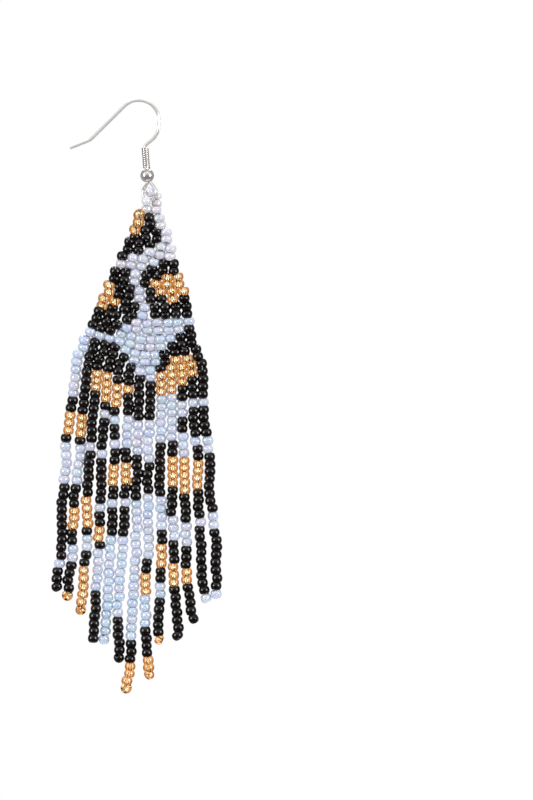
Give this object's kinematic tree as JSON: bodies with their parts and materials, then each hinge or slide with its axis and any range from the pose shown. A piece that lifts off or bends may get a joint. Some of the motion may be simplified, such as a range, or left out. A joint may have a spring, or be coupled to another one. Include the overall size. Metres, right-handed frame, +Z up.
{
  "type": "seed bead fringe drop earring",
  "caption": "Drop earring: a wire ear hook carries a triangular panel of woven seed beads with a long uneven fringe of beaded strings.",
  "frame": {"origin": "under the crown of the ear hook, on the inside of the wire, where the ear's piercing carries it", "axes": "+Z up along the hanging earring, +X to the right seen from the front, +Y to the back, so the bead panel faces -Y"},
  "size_m": [0.0355, 0.0086, 0.1249],
  "materials": {
    "hook_metal": "bright polished plate",
    "black_beads": "glossy opaque jet glass; the pale and the amber beads of the pattern are pieces of their own in the visual model",
    "pale_beads": "milky pale lilac to light blue glass with a soft lustre",
    "amber_beads": "transparent amber glass with a silver-lined hole",
    "thread": "fine white beading thread"
  },
  "bodies": {
    "hook": {"ear_hook": "hook_metal", "coil_wrap": "hook_metal", "ball_bead": "hook_metal"},
    "drop": {"bead_ring": "pale_beads", "bead_panel": "black_beads", "fringe_strand_01": "black_beads", "fringe_strand_02": "black_beads", "fringe_strand_03": "black_beads", "fringe_strand_04": "black_beads", "fringe_strand_05": "black_beads", "fringe_strand_06": "black_beads", "fringe_strand_07": "black_beads", "fringe_strand_08": "black_beads", "fringe_strand_09": "black_beads", "fringe_strand_10": "black_beads", "fringe_strand_11": "black_beads", "fringe_strand_12": "black_beads", "fringe_strand_13": "black_beads"}
  },
  "joints": [
    {"name": "drop_swing", "type": "hinge", "parent": "hook", "child": "drop", "pos_m": [0.00294, -0.00093, -0.02052], "axis": [0.6691, -0.7431, 0], "range_deg": [-60, 30]}
  ]
}
